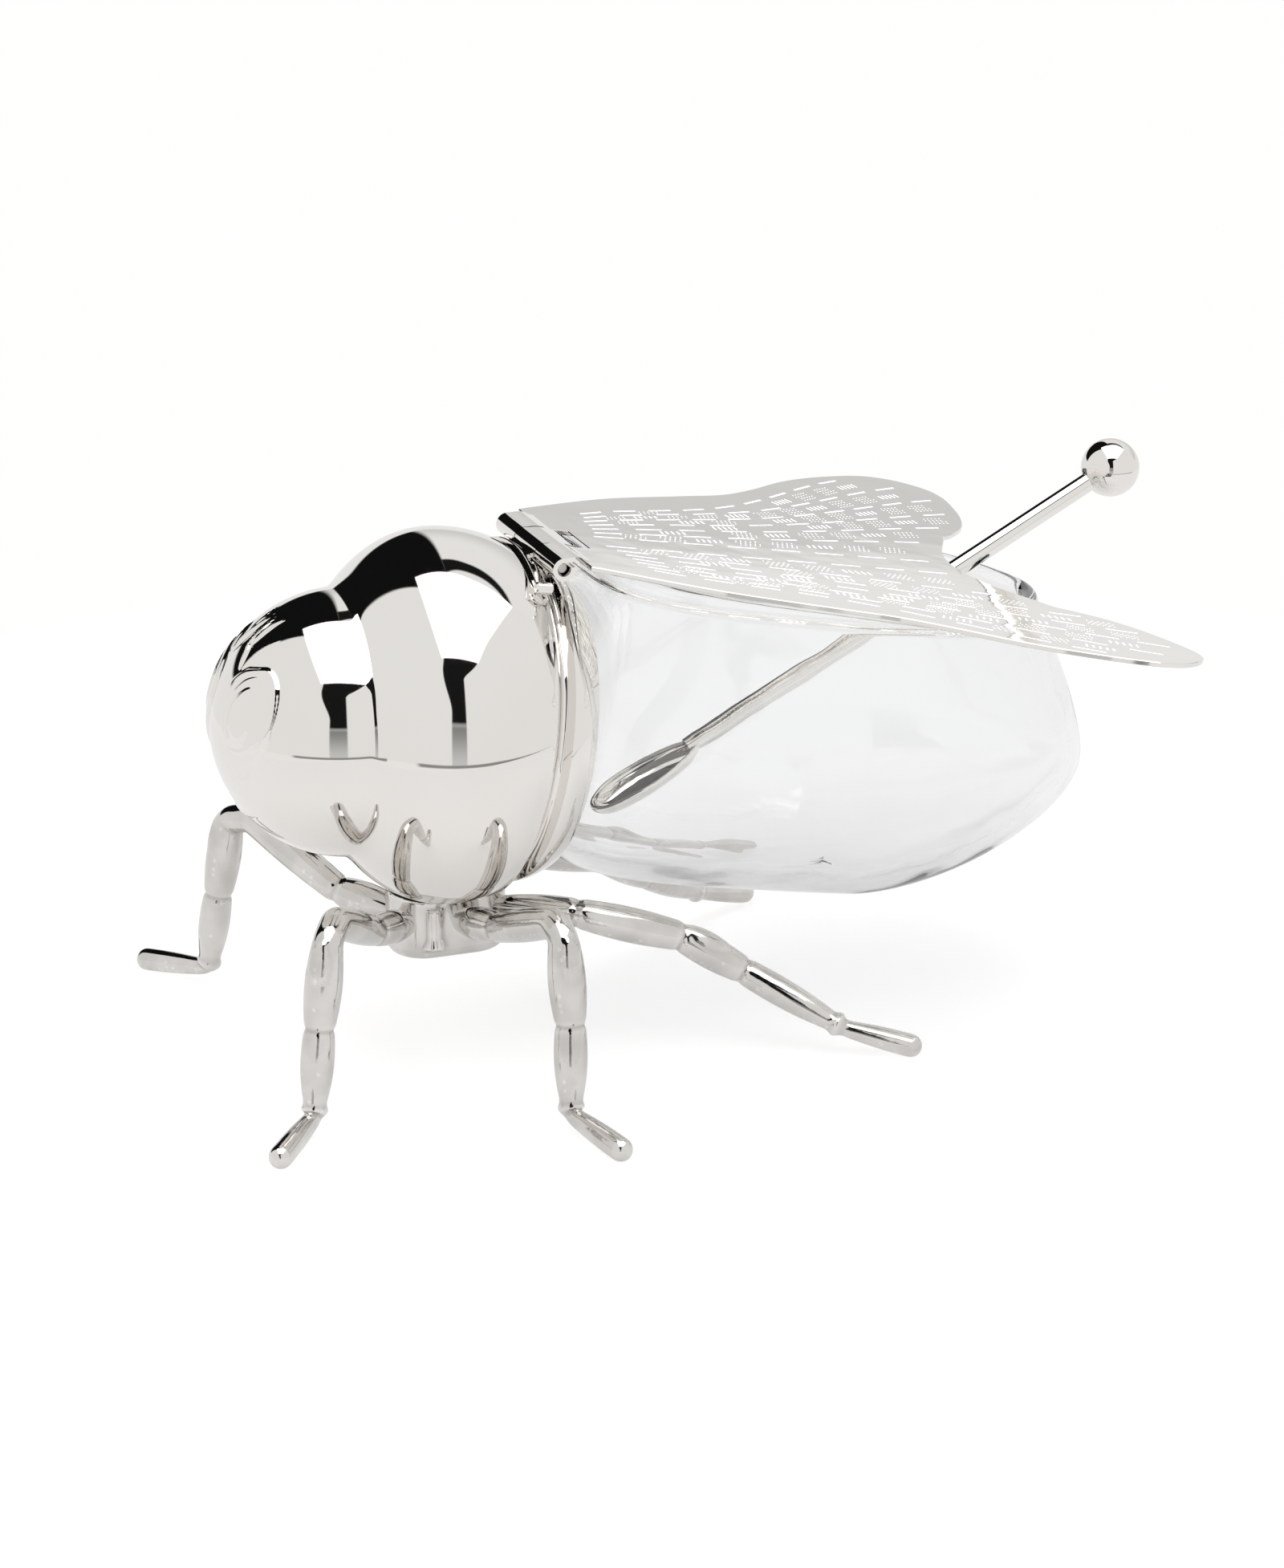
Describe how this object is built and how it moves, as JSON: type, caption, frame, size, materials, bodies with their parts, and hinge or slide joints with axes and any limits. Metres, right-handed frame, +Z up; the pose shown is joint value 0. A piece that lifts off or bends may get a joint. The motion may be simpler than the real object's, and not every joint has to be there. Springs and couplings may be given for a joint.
{
  "type": "honey pot with hinged lid",
  "caption": "Bee-shaped honey pot: polished metal head and legs, clear glass bowl, hinged wing lid and a ball-ended spoon.",
  "frame": {"origin": "on the table, under the middle of the length from the front toes to the spoon's ball", "axes": "+Z up, -X towards the head, +X towards the tail, -Y the side that the picture shows nearest"},
  "size_m": [0.2036, 0.1446, 0.1049],
  "materials": {
    "polished_nickel": "mirror-polished nickel plate",
    "cast_nickel": "nickel-plated casting, satin to bright",
    "pin_steel": "turned steel",
    "clear_glass": "clear, polished",
    "seal_rubber": "matt translucent grey"
  },
  "bodies": {
    "root": {"head_thorax_shell": "polished_nickel", "rear_collar": "polished_nickel", "glass_seal": "seal_rubber", "glass_bowl": "clear_glass", "hinge_leaf": "polished_nickel", "hinge_pin": "pin_steel", "leg_hub": "cast_nickel", "front_leg_left": "cast_nickel", "front_leg_right": "cast_nickel", "middle_leg_left": "cast_nickel", "middle_leg_right": "cast_nickel", "rear_leg_left": "cast_nickel", "rear_leg_right": "cast_nickel", "hub_screw": "pin_steel", "shell_boss": "pin_steel"},
    "lid": {"wing_lid": "polished_nickel"},
    "spoon": {"spoon_stem": "polished_nickel", "spoon_ball": "polished_nickel", "spoon_scoop": "polished_nickel"}
  },
  "joints": [
    {"name": "lid_hinge", "type": "hinge", "parent": "root", "child": "lid", "pos_m": [-0.0318, 0, 0.09756], "axis": [0, -1, 0], "range_deg": [0, 110]},
    {"name": "spoon_lift", "type": "slide", "parent": "root", "child": "spoon", "axis": [0.8829, 0, 0.4695], "range_m": [0, 0.05]}
  ]
}
